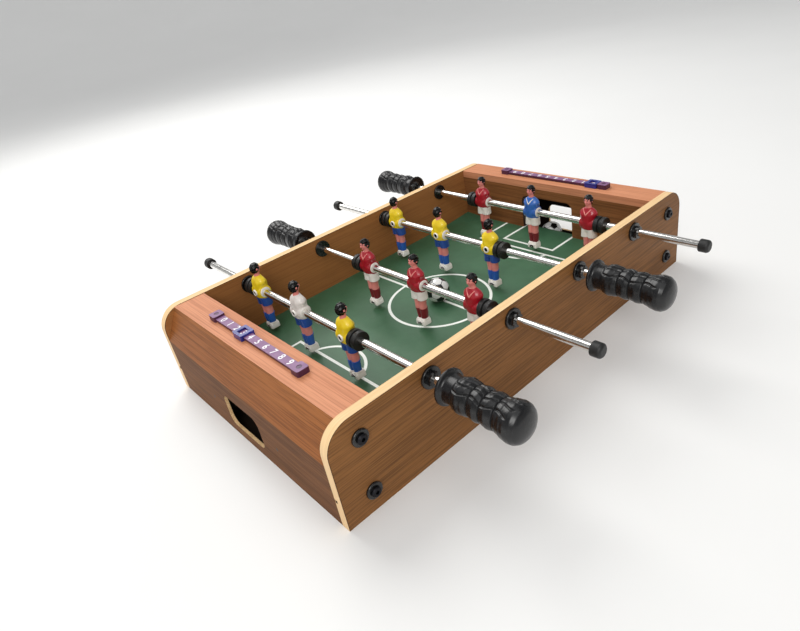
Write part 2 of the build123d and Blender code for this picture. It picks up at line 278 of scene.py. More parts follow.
# Printed lines, in metres from the middle of the pitch
LINE_HALF = 0.00165
CIRCLE_RADIUS = 0.0585
PENALTY_BOX = (0.148, 0.068)
GOAL_BOX = (0.162, 0.0385)
ARC_CENTRE_X = 0.164
ARC_RADIUS = 0.0422


def pitch_finish():
    """Green sheet printed with the pitch markings."""
    paint = Paint("pitch_green", Roughness=0.5)
    mottle = paint.noise(0.05, 4.0, 0.6)
    speck = paint.noise(0.0012, 3.0, 0.7)
    green = paint.mix(mottle.fade(0.3, 0.7), srgb(50, 92, 62), srgb(64, 106, 76))
    green = paint.mix(speck.fade(0.35, 0.75) * 0.18, green, srgb(84, 124, 96))
    ax, ay = abs(paint.x), abs(paint.y)

    def off_box(x, y):
        return abs((ax * -1 + x).most(ay - y))
    circle = abs(paint.x.hypot(paint.y) - CIRCLE_RADIUS)
    arc = abs((ax - ARC_CENTRE_X).hypot(ay) - ARC_RADIUS).most(ax - PENALTY_BOX[0])
    off = ax.least(circle).least(off_box(*PENALTY_BOX)).least(off_box(*GOAL_BOX)).least(arc)
    line = off.fade(LINE_HALF + 0.00012, LINE_HALF - 0.00012)
    ink = paint.mix(speck.fade(0.2, 0.8), srgb(238, 244, 236), srgb(250, 253, 248))
    top = paint.nz.fade(0.4, 0.6)
    paint.colour(paint.mix(line * top, green, ink))
    paint.rough(speck * 0.15 + 0.4)
    paint.bump(speck + line * 0.6, 0.00006, 0.5)
    return paint.material


def ramp_finish():
    """The pitch's green, with no markings."""
    paint = Paint("ramp_green", Roughness=0.5)
    speck = paint.noise(0.0012, 3.0, 0.7)
    paint.colour(paint.mix(speck.fade(0.3, 0.8), srgb(52, 94, 64), srgb(68, 110, 82)))
    paint.bump(speck, 0.00006, 0.5)
    return paint.material


# ---- Plastics, rubber and metal ------------------------------------------------------------------

# Distances of the handle's finger grooves from its inner face, in mm
GRIP_GROOVES = (29.6, 41.0, 53.6)


def moulded(name, colour, second, gloss, grain=0.0006, depth=0.00004, coat=0.0, specular=0.5):
    """A plastic or gloss paint: two near tones, a fine uneven surface, uneven gloss."""
    paint = Paint(name, Roughness=gloss, Coat_Weight=coat, Coat_Roughness=0.12, Specular_IOR_Level=specular)
    cloud = paint.noise(0.009, 3.0, 0.6)
    fine = paint.noise(grain, 2.0, 0.6)
    paint.colour(paint.mix(cloud.fade(0.3, 0.7), colour, second))
    paint.rough(cloud * 0.14 + (gloss - 0.07) + fine * 0.06)
    paint.bump(fine * 0.5 + cloud, depth, 0.6)
    return paint


def plastic(*values, **options):
    """The material of a moulded paint."""
    return moulded(*values, **options).material


def metal(name, colour, gloss, grain=0.0005, depth=0.00002):
    """Bare metal: cloudy tone and a fine grain, which a size on each axis makes brushed."""
    paint = Paint(name, Metallic=1.0, Roughness=gloss)
    cloud = paint.noise(0.006, 3.0, 0.6)
    fine = paint.noise(grain, 3.0, 0.6)
    dark = tuple(c * 0.82 for c in colour[:3]) + (1.0,)
    paint.colour(paint.mix(cloud.fade(0.35, 0.75), colour, dark))
    paint.rough(fine * 0.1 + gloss)
    paint.bump(fine, depth, 0.5)
    return paint.material


def grip_finish():
    """Glossy black plastic that is dull down in the three finger grooves."""
    paint = moulded("grip_plastic", srgb(13, 13, 15), srgb(19, 19, 21), 0.25, 0.0005, 0.00003)
    off = abs(paint.y + GRIP_GROOVES[0] * MM)
    for groove in GRIP_GROOVES[1:]:
        off = off.least(abs(paint.y + groove * MM))
    clear = off.fade(0.0003, 0.0009)
    gloss = Num(paint, paint.shader.inputs["Roughness"].links[0].from_socket)
    paint.rough(gloss * clear + (clear * -1 + 1.0) * 0.9)
    return paint.material


def rail_finish():
    """Purple plastic with painted shade: the level top in the plastic's own tones, the sides much darker."""
    paint = moulded("purple_plastic", srgb(138, 96, 138), srgb(126, 84, 128), 0.4)
    tone = paint.shader.inputs["Base Color"].links[0].from_socket
    # Painted shade: faces that do not look up get a much darker purple.
    paint.colour(paint.mix(paint.nz.fade(0.3, 0.7), srgb(74, 34, 62), tone))
    return paint.material


FINISH = {
    "panel": panel_finish(),
    "top": end_finish(
        "pale_board", 1.0, srgb(216, 148, 110), srgb(205, 136, 98), srgb(150, 86, 56),
        (srgb(226, 180, 130), srgb(190, 140, 96)), 0.45, 0.55,
    ),
    "slope": end_finish(
        "slope_board", 1.0, srgb(162, 101, 54), srgb(146, 88, 46), srgb(82, 46, 22),
        (srgb(226, 190, 140), srgb(184, 142, 96)), 0.42, 0.8,
    ),
    "end": end_finish(
        "brown_board", 0.0, srgb(124, 80, 45), srgb(108, 68, 38), srgb(62, 38, 20),
        (srgb(232, 200, 152), srgb(196, 158, 112)), 0.62, 0.9, facing_in,
    ),
    "goal": end_finish(
        "goal_board", 0.0, srgb(150, 98, 58), srgb(124, 80, 46), srgb(78, 48, 27),
        (srgb(70, 46, 32), srgb(48, 32, 22)), 0.45, 0.9, behind_goal,
    ),
    # Painted shade: the boards inside the end boxes are near black all over.
    "inner": plastic("inner_board_painted_shade", BOX_SHADE, srgb(42, 31, 23), 0.7),
    "nail": plastic("nail_head", srgb(24, 20, 18), srgb(38, 30, 26), 0.5),
    "hardboard": end_finish(
        "hardboard", 1.0, srgb(150, 118, 86), srgb(132, 100, 70), srgb(110, 82, 56),
        (srgb(150, 118, 86), srgb(122, 92, 64)), 0.6, 0.4, behind_goal,
    ),
    "pitch": pitch_finish(),
    "ramp": ramp_finish(),
    "black_plastic": plastic("black_plastic", srgb(14, 14, 15), srgb(20, 20, 21), 0.24, coat=0.2),
    "grip": grip_finish(),
    "rubber": plastic("black_rubber", srgb(22, 22, 22), srgb(30, 30, 29), 0.46, 0.0004, 0.00006),
    "black_steel": metal("black_steel", srgb(46, 46, 50), 0.36),
    "rail_screw": plastic("rail_screw", srgb(92, 58, 90), srgb(74, 44, 74), 0.34),
    "zinc": metal("zinc_steel", srgb(176, 176, 172), 0.36),
    "chrome": metal("chrome_tube", srgb(244, 242, 238), 0.10, (0.004, 0.05, 0.004), 0.000001),
    "rail": rail_finish(),
    "slider": plastic("blue_plastic", srgb(38, 48, 146), srgb(30, 38, 126), 0.28, coat=0.2),
    "digit": plastic("digit_ink", srgb(246, 244, 246), srgb(236, 234, 238), 0.45),
    "ball_white": plastic("ball_white", srgb(246, 246, 244), srgb(236, 237, 236), 0.22, coat=0.5),
    "ball_black": plastic("ball_black", srgb(16, 16, 17), srgb(24, 24, 25), 0.24, coat=0.5),
    "skin": plastic("player_skin", srgb(238, 148, 140), srgb(228, 134, 126), 0.34, coat=0.25),
    "hair": plastic("player_hair", srgb(4, 4, 5), srgb(8, 8, 9), 0.2, specular=0.3),
    "white": plastic("player_body_white", srgb(248, 244, 238), srgb(240, 234, 226), 0.32, coat=0.25),
    "shirt_yellow": plastic("shirt_yellow", srgb(252, 222, 40), srgb(246, 208, 28), 0.32, coat=0.3),
    "shirt_white": plastic("shirt_white", srgb(242, 236, 230), srgb(226, 218, 212), 0.32, coat=0.3),
    "shirt_red": plastic("shirt_red", srgb(178, 22, 42), srgb(160, 18, 36), 0.28, coat=0.4),
    "shirt_blue": plastic("shirt_blue", srgb(56, 112, 196), srgb(44, 94, 176), 0.3, coat=0.3),
    "shorts_blue": plastic("shorts_blue", srgb(42, 86, 168), srgb(34, 70, 146), 0.3, coat=0.3),
    "sock_blue": plastic("sock_blue", srgb(46, 98, 190), srgb(38, 84, 170), 0.3, coat=0.3),
    "sock_red": plastic("sock_red", srgb(128, 24, 36), srgb(112, 18, 30), 0.32, coat=0.3),
}


# ---- Finishes on the CAD nodes that stay ---------------------------------------------------------

RODS = ("left_yellow", "left_red", "right_yellow", "right_red")
SEATS = ("front", "middle", "rear")
ENDS = ("left", "right")

KEPT = {
    "side_panel_front": "panel",
    "side_panel_rear": "panel",
    "pitch_board": "pitch",
    "base_board": "hardboard",
    "box_cheeks": "inner",
    "box_partitions": "inner",
    "end_nails": "nail",
    "cabinet_bolts": "black_steel",
    "bolt_washers": "black_plastic",
    "tee_nuts": "zinc",
    "rod_bushes": "black_plastic",
    "bush_rings": "black_plastic",
    "score_rail_screws": "rail_screw",
}
for end in ENDS:
    KEPT[f"top_board_{end}"] = "top"
    KEPT[f"slope_board_{end}"] = "slope"
    KEPT[f"end_board_{end}"] = "end"
    KEPT[f"goal_wall_{end}"] = "goal"
    KEPT[f"score_rail_{end}"] = "rail"
    KEPT[f"score_slider_{end}"] = "slider"
for rod in RODS:
    KEPT[f"rod_tube_{rod}"] = "chrome"
    KEPT[f"rod_cap_{rod}"] = "rubber"
    KEPT[f"rod_bumpers_{rod}"] = "rubber"
    KEPT[f"player_screws_{rod}"] = "black_steel"

for node_name, finish in KEPT.items():
    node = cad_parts[node_name]
    node.data.materials.clear()
    node.data.materials.append(FINISH[finish])


# ---- Mesh building, in mm ------------------------------------------------------------------------

def turns(count):
    """Equal angles round a full turn."""
    return [TAU * k / count for k in range(count)]


def bell(value, centre, width):
    """1 at the centre, fading smoothly to 0 on both sides."""
    return math.exp(-((value - centre) / width) ** 2)


def add_rings(bm, rings, slot=0, cap=True):
    """Skins a list of closed rings of points, each in order, and closes both ends."""
    rows = [[bm.verts.new(point) for point in ring] for ring in rings]
    faces = []
    count = len(rows[0])
    for low, high in zip(rows, rows[1:]):
        for i in range(count):
            j = (i + 1) % count
            faces.append(bm.faces.new((low[i], low[j], high[j], high[i])))
    if cap:
        for row, flip in ((rows[0], True), (rows[-1], False)):
            centre = bm.verts.new(sum((v.co for v in row), Vector()) / count)
            for i in range(count):
                j = (i + 1) % count
                corner = (row[j], row[i], centre) if flip else (row[i], row[j], centre)
                faces.append(bm.faces.new(corner))
    for face in faces:
        face.material_index = slot
        face.smooth = True


def oval(z, depth, width, x=0.0, y=0.0, power=2.0, wave=None):
    """One level cross-section: depth along X, width along Y, squarer as power rises."""
    ring = []
    for angle in turns(40):
        c, s = math.cos(angle), math.sin(angle)
        px = x + math.copysign(abs(c) ** (2 / power), c) * depth / 2
        py = y + math.copysign(abs(s) ** (2 / power), s) * width / 2
        lift = wave(angle) if wave else 0.0
        ring.append(Vector((px, py, z + lift)))
    return ring


def between(sections, steps=4):
    """Extra sections between the given ones, on a smooth curve through them."""
    out = []
    for i in range(len(sections) - 1):
        before = sections[max(i - 1, 0)]
        a, b = sections[i], sections[i + 1]
        after = sections[min(i + 2, len(sections) - 1)]
        for k in range(steps):
            t = k / steps
            row = []
            for p0, p1, p2, p3 in zip(before, a, b, after):
                m1, m2 = (p2 - p0) / 2, (p3 - p1) / 2
                h = (2 * t**3 - 3 * t**2 + 1) * p1 + (t**3 - 2 * t**2 + t) * m1
                row.append(h + (-2 * t**3 + 3 * t**2) * p2 + (t**3 - t**2) * m2)
            out.append(tuple(row))
    out.append(tuple(sections[-1]))
    return out


def add_blob(bm, centre, radii, slot, shape=None, fine=4):
    """A ball stretched to three radii, whose points shape() may move."""
    made = bmesh.ops.create_icosphere(bm, subdivisions=fine, radius=1.0)
    for v in made["verts"]:
        unit = v.co.copy()
        v.co = Vector(centre) + Vector((unit.x * radii[0], unit.y * radii[1], unit.z * radii[2]))
        if shape:
            v.co = shape(v.co, unit)
    for face in {f for v in made["verts"] for f in v.link_faces}:
        face.material_index = slot
        face.smooth = True


def add_bead(bm, points, radius, slot, closed=False):
    """A round bead along a line of points."""
    rings = []
    last = len(points) - 1
    for i, point in enumerate(points):
        if closed:
            ahead = points[(i + 1) % len(points)] - points[i - 1]
        else:
            ahead = points[min(i + 1, last)] - points[max(i - 1, 0)]
        ahead.normalize()
        side = ahead.cross(Vector((0.0, 0.31, 0.95))).normalized()
        up = side.cross(ahead)
        rings.append([point + (side * math.cos(a) + up * math.sin(a)) * radius for a in turns(8)])
    if closed:
        rings.append([p.copy() for p in rings[0]])
    add_rings(bm, rings, slot, cap=not closed)


def finish_mesh(bm, name, materials):
    """Turns a bmesh in mm into a mesh in metres."""
    bmesh.ops.recalc_face_normals(bm, faces=bm.faces)
    bm.transform(Matrix.Scale(MM, 4))
    mesh = bpy.data.meshes.new(name)
    bm.to_mesh(mesh)
    bm.free()
    for material in materials:
        mesh.materials.append(material)
    return mesh


def place_piece(name, mesh, body, replaced, place=Matrix.Identity(4)):
    """Adds a piece that rides a body, and stands for the CAD nodes it replaces, which it hides."""
    piece = bpy.data.objects.new(name, mesh)
    scene.collection.objects.link(piece)
    piece.matrix_world = place
    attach(piece, body)
    if replaced:
        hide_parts(*replaced)


def facing(rod):
    """The red rods' pieces are the yellow ones turned half round."""
    return Matrix.Rotation(math.pi if rod.endswith("red") else 0.0, 4, "Z")


# ---- Players, in mm from the middle of the rod, facing +X ----------------------------------------

# Material order on a player's mesh
SKIN, HAIR, SHIRT, SHORTS, SOCK, WHITE, COLLAR = range(7)
SOLE, SHOE_TOP, SHOE_HALF = -47.5, -40.8, 6.7
ARCH_RADIUS = 2.5
ROD_HOLE_RADIUS = 4.06

# Paints of shirt, shorts, socks and collar
KITS = {
    "yellow": ("shirt_yellow", "shorts_blue", "sock_blue", "skin"),
    "white": ("shirt_white", "shorts_blue", "sock_blue", "white"),
    "red": ("shirt_red", "white", "sock_red", "skin"),
    "blue": ("shirt_blue", "white", "sock_red", "white"),
}
COLLARED = ("red", "blue")
KEEPERS = {"left_yellow": "white", "right_red": "blue"}

# Rows of height, depth, width and forward shift
TRUNK = [
    (-6.7, 12.4, 16.6, 0.0), (-5.8, 14.2, 17.5, 0.0), (-3.0, 15.0, 17.2, 0.0), (0.5, 15.2, 17.6, 0.0),
    (4.0, 15.0, 18.2, 0.0), (7.8, 14.3, 18.5, 0.1), (9.6, 13.8, 19.2, 0.2), (11.6, 13.0, 20.2, 0.2),
    (14.2, 11.2, 18.8, 0.2), (16.2, 9.2, 15.4, 0.2), (17.6, 7.8, 11.0, 0.3), (18.6, 6.4, 7.6, 0.4),
]
NECK = [(15.5, 7.6, 8.2, 0.0), (18.4, 6.6, 6.6, 0.1), (20.5, 6.2, 6.0, 0.4), (24.0, 6.6, 6.2, 0.6)]
# The same, and the distance from the player's middle
SHORTS_LEG = [
    (-5.4, 11.6, 8.4, 0.0, 3.7), (-8.5, 12.3, 8.9, 0.0, 3.9), (-12.0, 12.2, 9.0, 0.1, 4.1),
    (-15.2, 12.3, 9.3, 0.2, 4.25), (-16.4, 12.2, 9.3, 0.2, 4.25), (-16.7, 11.4, 8.5, 0.2, 4.2),
]
THIGH = [
    (-14.5, 9.6, 7.3, 0.1, 3.4), (-18.0, 9.2, 7.0, 0.2, 3.3), (-22.0, 8.7, 6.4, 0.3, 3.05),
    (-25.4, 8.9, 6.3, 0.5, 2.95), (-30.0, 8.0, 5.9, 0.2, 2.85),
]
SOCK_TOP = -28.0
SOCK_ROWS = [
    (SOCK_TOP, 8.9, 6.8, 0.3, 2.9), (-28.7, 9.1, 6.9, 0.3, 2.9), (-31.5, 9.2, 6.7, -0.1, 2.85),
    (-35.0, 8.8, 6.4, -0.1, 2.8), (-38.0, 8.2, 6.1, 0.0, 2.75), (-41.6, 8.4, 6.2, 0.2, 2.75),
]
# The shoe block: distance forward, and how much of its full size it has there
SHOE = [
    (-4.75, 0.86), (-4.5, 0.93), (-3.9, 0.98), (-2.9, 1.0), (1.0, 1.0), (4.4, 1.0), (5.3, 0.97),
    (5.8, 0.92), (6.0, 0.85),
]
# The screw boss on the back: distance forward and radius
BOSS = [(-6.2, 3.7), (-8.3, 3.6), (-8.75, 3.35), (-8.9, 2.9), (-8.75, 2.5), (-8.3, 2.38), (-6.2, 2.38)]


def torso_ring(z, depth, width, x):
    """Shirt cross-section with a back hollow, sleeve bulges and a few soft folds."""
    ring = []
    for angle in turns(64):
        c, s = math.cos(angle), math.sin(angle)
        px = math.copysign(abs(c) ** 0.88, c) * depth / 2
        py = math.copysign(abs(s) ** 0.88, s) * width / 2
        py += math.copysign(bell(z, 12.0, 2.4) * abs(s) ** 8 * 0.6, s)
        px += (0.4 if c < 0 else -0.1) * bell(z, 9.5, 5.0) * bell(s, 0.0, 0.3)
        px += (0.65 if c > 0 else -0.45) * bell(z, 10.5, 3.4) * bell(abs(s), 0.52, 0.24)
        fold = 0.14 * math.sin(z * 0.9 + angle * 3.0) * bell(z, 1.0, 7.0)
        px += fold * c
        py += fold * s * 0.6
        ring.append(Vector((px + x, py, z)))
    return ring


def barrel(radius, half, soft):
    """Rings of a short drum round the rod with softened rims."""
    stations = [
        (-half, radius - soft), (-half + soft * 0.35, radius - soft * 0.3), (-half + soft, radius),
        (half - soft, radius), (half - soft * 0.35, radius - soft * 0.3), (half, radius - soft),
    ]
    return [[Vector((math.cos(a) * r, y, math.sin(a) * r)) for a in turns(48)] for y, r in stations]


def add_trunk(bm):
    """The shirt, the barrel the rod runs through, and its bare white rims."""
    add_rings(bm, [torso_ring(*row) for row in between(TRUNK)], SHIRT)
    add_rings(bm, barrel(7.5, 8.7, 0.9), SHIRT)
    rims = barrel(5.9, 9.45, 0.5)
    hole = barrel(ROD_HOLE_RADIUS, 9.45, 0.0)
    add_rings(bm, [hole[0]] + rims + [hole[-1]], WHITE, cap=False)


def add_leg(bm, side):
    """One side of the shorts, the knee, the sock with its moulded top edge, and the instep."""
    def wavy(a):
        return 0.35 * math.cos(2 * a)

    def top_edge(a):
        return 0.55 * math.cos(a) ** 2 - 0.5
    rings = [oval(z, d, w, x, side * y, 2.3, wavy) for z, d, w, x, y in between(SHORTS_LEG)]
    add_rings(bm, rings, SHORTS)
    add_rings(bm, [oval(z, d, w, x, side * y, 2.2) for z, d, w, x, y in between(THIGH)], SKIN)
    rings = []
    for z, d, w, x, y in between(SOCK_ROWS):
        share = max(0.0, 1 - (SOCK_TOP - z) / 5)
        rings.append(oval(z, d, w, x, side * y, 2.2, lambda a, k=share: k * top_edge(a)))
    add_rings(bm, rings, SOCK)
    add_bead(bm, oval(-27.9, 9.0, 6.9, 0.3, side * 2.9, 2.2, top_edge), 0.42, SOCK, closed=True)
    add_blob(bm, (-0.2, side * 2.9, -41.0), (4.8, 3.5, 2.9), WHITE, fine=3)
    add_blob(bm, (2.4, side * 2.9, -41.2), (3.3, 3.3, 2.3), WHITE, fine=3)


def shoe_outline(grow, x):
    """The shoe block across: an arch below, rounded corners, sides that lean in."""
    half = SHOE_HALF * grow
    rise = (1 - grow) * 3.2
    low, high = SOLE + rise, SHOE_TOP - rise
    arch = []
    for k in range(9):
        a = math.pi - math.pi * k / 8
        arch.append((math.cos(a) * ARCH_RADIUS, low + math.sin(a) * ARCH_RADIUS * 0.9))
    corners = [
        (half - 1.1, low, half, low, half, low + 1.1),
        (half - 0.25, high - 2.4, half - 0.5, high, half - 2.6, high),
    ]
    right = []
    for y0, z0, y1, z1, y2, z2 in corners:
        for k in range(5):
            t = k / 4
            right.append((
                (1 - t) ** 2 * y0 + 2 * t * (1 - t) * y1 + t * t * y2,
                (1 - t) ** 2 * z0 + 2 * t * (1 - t) * z1 + t * t * z2,
            ))
    left = [(-y, z) for y, z in reversed(right)]
    return [Vector((x, y, z)) for y, z in arch + right + left]


def face(point, unit):
    """Shapes a ball into a face: chin, eye hollows, brow, cheeks and mouth, in that order."""
    front = max(0.0, unit.x) ** 2
    point.y *= 1 - 0.16 * max(0.0, -unit.z)
    point.x += front * 0.9 * bell(unit.z, -0.70, 0.20) * bell(unit.y, 0.0, 0.4)
    point.x -= front * 0.75 * bell(unit.z, 0.10, 0.14) * bell(abs(unit.y), 0.36, 0.2)
    point.x += front * 0.45 * bell(unit.z, 0.34, 0.12)
    point.x += front * 0.3 * bell(unit.z, -0.14, 0.18) * bell(abs(unit.y), 0.5, 0.16)
    point.x -= front * 0.4 * bell(unit.z, -0.43, 0.05) * bell(unit.y, 0.0, 0.32)
    return point


def bridge(point, unit):
    """Slopes the upper half of the nose back."""
    return point + Vector((-0.35 * max(0.0, unit.z), 0, 0))


def add_head(bm):
    """Neck, head, nose, ears, eyes and brows."""
    add_rings(bm, [oval(z, d, w, x) for z, d, w, x in between(NECK)], SKIN)
    add_blob(bm, (0.6, 0.0, 26.4), (4.9, 4.4, 6.2), SKIN, face, 5)
    add_blob(bm, (5.65, 0.0, 25.8), (1.0, 0.75, 1.5), SKIN, bridge, 3)
    for side in (-1, 1):
        add_blob(bm, (0.1, side * 4.4, 26.3), (1.1, 0.55, 1.6), SKIN, fine=3)
        add_blob(bm, (4.65, side * 1.7, 27.05), (0.42, 0.58, 0.34), HAIR, fine=2)
        add_blob(bm, (4.95, side * 1.75, 28.4), (0.4, 0.95, 0.24), HAIR, fine=2)


def swept(point, unit):
    """Draws the hair in a little and combs it into ridges."""
    round_x = math.atan2(unit.y, unit.z + 0.35)
    ridge = math.sin(round_x * 11 + unit.x * 2.2 + 1.5 * noise.noise(unit * 1.6))
    part = noise.noise(unit * 2.3 + Vector((3.0, 1.0, 7.0)))
    return point + unit * (0.24 * ridge + 0.25 * part - 0.30)


def add_hair(bm):
    """A combed shell round the head, cut away over the face."""
    hair = bmesh.new()
    add_blob(hair, (0.0, 0.0, 26.9), (5.85, 5.2, 6.6), HAIR, swept, 5)
    bmesh.ops.bisect_plane(
        hair,
        geom=hair.verts[:] + hair.edges[:] + hair.faces[:],
        plane_co=(4.9, 0.0, 28.9),
        plane_no=Vector((-0.77, 0.0, 0.64)).normalized(),
        clear_inner=True,
    )
    bmesh.ops.holes_fill(hair, edges=[e for e in hair.edges if e.is_boundary])
    for side in hair.faces:
        side.material_index = HAIR
        side.smooth = len(side.verts) < 5
    mesh = bpy.data.meshes.new("hair_part")
    hair.to_mesh(mesh)
    hair.free()
    bm.from_mesh(mesh)
    bpy.data.meshes.remove(mesh)


def add_collar(bm):
    """A V-shaped bead on the front of the shirt."""
    line = []
    for k in range(25):
        share = k / 12 - 1
        y, z = 4.6 * share, 10.6 + 6.4 * abs(share) ** 0.9
        line.append(Vector((6.5 - 0.10 * y * y - 0.028 * (z - 9.0) ** 2, y, z)))
    add_bead(bm, line, 0.8, COLLAR)


def player_mesh(kit):
    bm = bmesh.new()
    add_trunk(bm)
    add_blob(bm, (0.0, 0.0, -7.6), (6.1, 8.1, 4.6), SHORTS)
    for side in (-1, 1):
        add_leg(bm, side)
    add_rings(bm, [shoe_outline(grow, x) for x, grow in SHOE], WHITE)
    boss = [[Vector((x, math.cos(a) * r, math.sin(a) * r)) for a in turns(32)] for x, r in BOSS]
    add_rings(bm, boss, WHITE, cap=False)
    add_head(bm)
    add_hair(bm)
    if kit in COLLARED:
        add_collar(bm)
    shirt, shorts, socks, collar = KITS[kit]
    order = ("skin", "hair", shirt, shorts, socks, "white", collar)
    return finish_mesh(bm, f"player_{kit}", [FINISH[key] for key in order])


PLAYER_MESH = {kit: player_mesh(kit) for kit in KITS}

for rod in RODS:
    low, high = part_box(f"rod_tube_{rod}")
    axis_x, axis_z = (low.x + high.x) / 2, (low.z + high.z) / 2
    for seat in SEATS:
        node_name = f"player_{rod}_{seat}"
        low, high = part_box(node_name)
        kit = rod.split("_")[1]
        if seat == "middle":
            kit = KEEPERS.get(rod, kit)
        place = Matrix.Translation((axis_x, (low.y + high.y) / 2, axis_z)) @ facing(rod)
        name = f"figure_{rod}_{seat}"
        place_piece(name, PLAYER_MESH[kit], f"rod_{rod}", [node_name], place)


# ---- Handles, in mm from the inner face ----------------------------------------------------------

# Distance and radius
GRIP_CORE = [
    (0.0, 14.6), (0.5, 15.5), (1.6, 15.6), (2.6, 15.2), (3.3, 13.4), (4.4, 12.4), (6.0, 12.1), (12.6, 11.9),
    (13.4, 12.9), (15.8, 14.1), (19.5, 15.0), (24.6, 14.3), (29.4, 13.2), (32.6, 13.8), (35.8, 14.3),
    (41.0, 13.2), (44.2, 13.9), (47.2, 14.5), (53.6, 13.5), (57.5, 14.4), (62.0, 15.7), (66.5, 16.4),
    (70.0, 16.0), (73.4, 14.0), (75.6, 10.8), (77.0, 6.0), (77.5, 1.2),
]
SOFT_FROM, SOFT_TO = 13.0, 70.0
FLUTED_FROM, FLUTED_TO = 13.4, 76.5
# Angles of the long lines from the top of the handle, in degrees
FLUTES = (-42, -14, 14, 42)
GRIP_BORE = 4.05
GRIP_SIDES = 320


def core_radius(t):
    """The turned shape's radius, straight between rows at the ends and soft in the middle."""
    for (t0, r0), (t1, r1) in zip(GRIP_CORE, GRIP_CORE[1:]):
        if t <= t1:
            share = (t - t0) / (t1 - t0)
            if t0 >= SOFT_FROM and t1 <= SOFT_TO:
                share = share * share * (3 - 2 * share)
            return r0 + (r1 - r0) * share
    return GRIP_CORE[-1][1]


def grip_radius(t, angle):
    """Radius at a distance along the handle and an angle from its top."""
    radius = core_radius(t)
    if t < FLUTED_FROM or t > FLUTED_TO:
        return radius
    for groove in GRIP_GROOVES:
        radius -= 1.25 * bell(t, groove, 0.55)
    sway = math.radians(6) * math.sin(TAU * (t - FLUTED_FROM) / 24.0)
    end = 71.5 - 6.0 * angle * angle
    along = min(1.0, max(0.0, (t - 13.6) / 2.0)) * min(1.0, max(0.0, (end - t) / 2.5))
    for line in FLUTES:
        arc = (angle + sway - math.radians(line)) * radius
        radius -= 1.15 * along * bell(arc, 0.0, 0.75)
    return radius


def grip_ring(t, plain=None):
    """A ring round the handle, of one radius where plain gives it."""
    ring = []
    for turn in turns(GRIP_SIDES):
        angle = turn if turn <= math.pi else turn - TAU
        r = plain or grip_radius(t, angle)
        ring.append(Vector((math.sin(angle) * r, -t, math.cos(angle) * r)))
    return ring


def grip_mesh():
    """The handle, with rings closest where the finger grooves are."""
    stations = [0.0, 0.25, 0.5, 1.0, 1.6, 2.2, 2.6, 2.9, 3.3, 3.8, 4.4, 5.2, 6.5, 9.0, 12.0, 12.6, 13.0]
    t = FLUTED_FROM
    while t < 73.0:
        stations.append(t)
        near = min(abs(t - g) for g in GRIP_GROOVES)
        t += 0.2 if near < 1.6 else 0.55
    stations += [73.0, 73.8, 74.6, 75.3, 75.9, 76.4, 76.8, 77.1, 77.3, 77.45]
    bm = bmesh.new()
    bore = [grip_ring(1.5, GRIP_BORE), grip_ring(0.0, GRIP_BORE)]
    add_rings(bm, bore + [grip_ring(t) for t in stations])
    return finish_mesh(bm, "grip", [FINISH["grip"]])


GRIP = grip_mesh()
for rod in RODS:
    low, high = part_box(f"handle_{rod}")
    inner = low.y if rod.endswith("red") else high.y
    place = Matrix.Translation(((low.x + high.x) / 2, inner, (low.z + high.z) / 2)) @ facing(rod)
    place_piece(f"grip_{rod}", GRIP, f"rod_{rod}", [f"handle_{rod}"], place)


# ---- Balls ---------------------------------------------------------------------------------------

BALL_RADIUS = 14.0
SEAM_DEPTH = 0.32
# How each ball lies, as turns about X, Y and Z in radians
BALLS = {"ball_pitch": (0.35, 0.5, 0.2), "ball_goal": (0.9, 0.2, 1.1)}


def ball_mesh(turn):
    """A truncated icosahedron blown up to a ball: black five-sided panels, and grooved seams."""
    bm = bmesh.new()
    bmesh.ops.create_icosphere(bm, subdivisions=1, radius=1.0)
    third = {"offset": 100 / 3, "offset_type": "PERCENT"}
    bmesh.ops.bevel(bm, geom=bm.verts[:], affect="VERTICES", segments=1, **third)
    for panel in bm.faces:
        panel.material_index = int(len(panel.verts) == 5)
    bmesh.ops.inset_individual(bm, faces=bm.faces[:], thickness=0.022)
    panels = [f for f in bm.faces if len(f.verts) != 4]
    for border in bm.faces:
        if len(border.verts) == 4:
            border.material_index = 1
    outline = {v for v in bm.verts if all(len(f.verts) == 4 for f in v.link_faces)}
    layer = bm.verts.layers.float.new("seam")
    for v in bm.verts:
        v[layer] = 1.0 if v in outline else 0.0
    bmesh.ops.poke(bm, faces=panels)
    bmesh.ops.subdivide_edges(bm, edges=bm.edges[:], cuts=5, use_grid_fill=True)
    for v in bm.verts:
        v.co = v.co.normalized() * (BALL_RADIUS - SEAM_DEPTH * v[layer] ** 2)
    for part in bm.faces:
        part.smooth = True
    bm.transform(Euler(turn).to_matrix().to_4x4())
    return finish_mesh(bm, "ball", [FINISH["ball_white"], FINISH["ball_black"]])


for name, turn in BALLS.items():
    low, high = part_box(name)
    place = Matrix.Translation((low + high) / 2)
    place_piece(f"painted_{name}", ball_mesh(turn), name, [name], place)


# ---- Corner ramps --------------------------------------------------------------------------------

RAMP_LENGTH, RAMP_WIDTH = 48.0, 38.0
RAMP_STEPS = 18
# Share of the way out from the corner, and of the height left there
RAMP_SLOPE = ((0.25, 0.75), (0.5, 0.5), (0.75, 0.25), (0.9, 0.09), (0.97, 0.02), (1.0, 0.0))


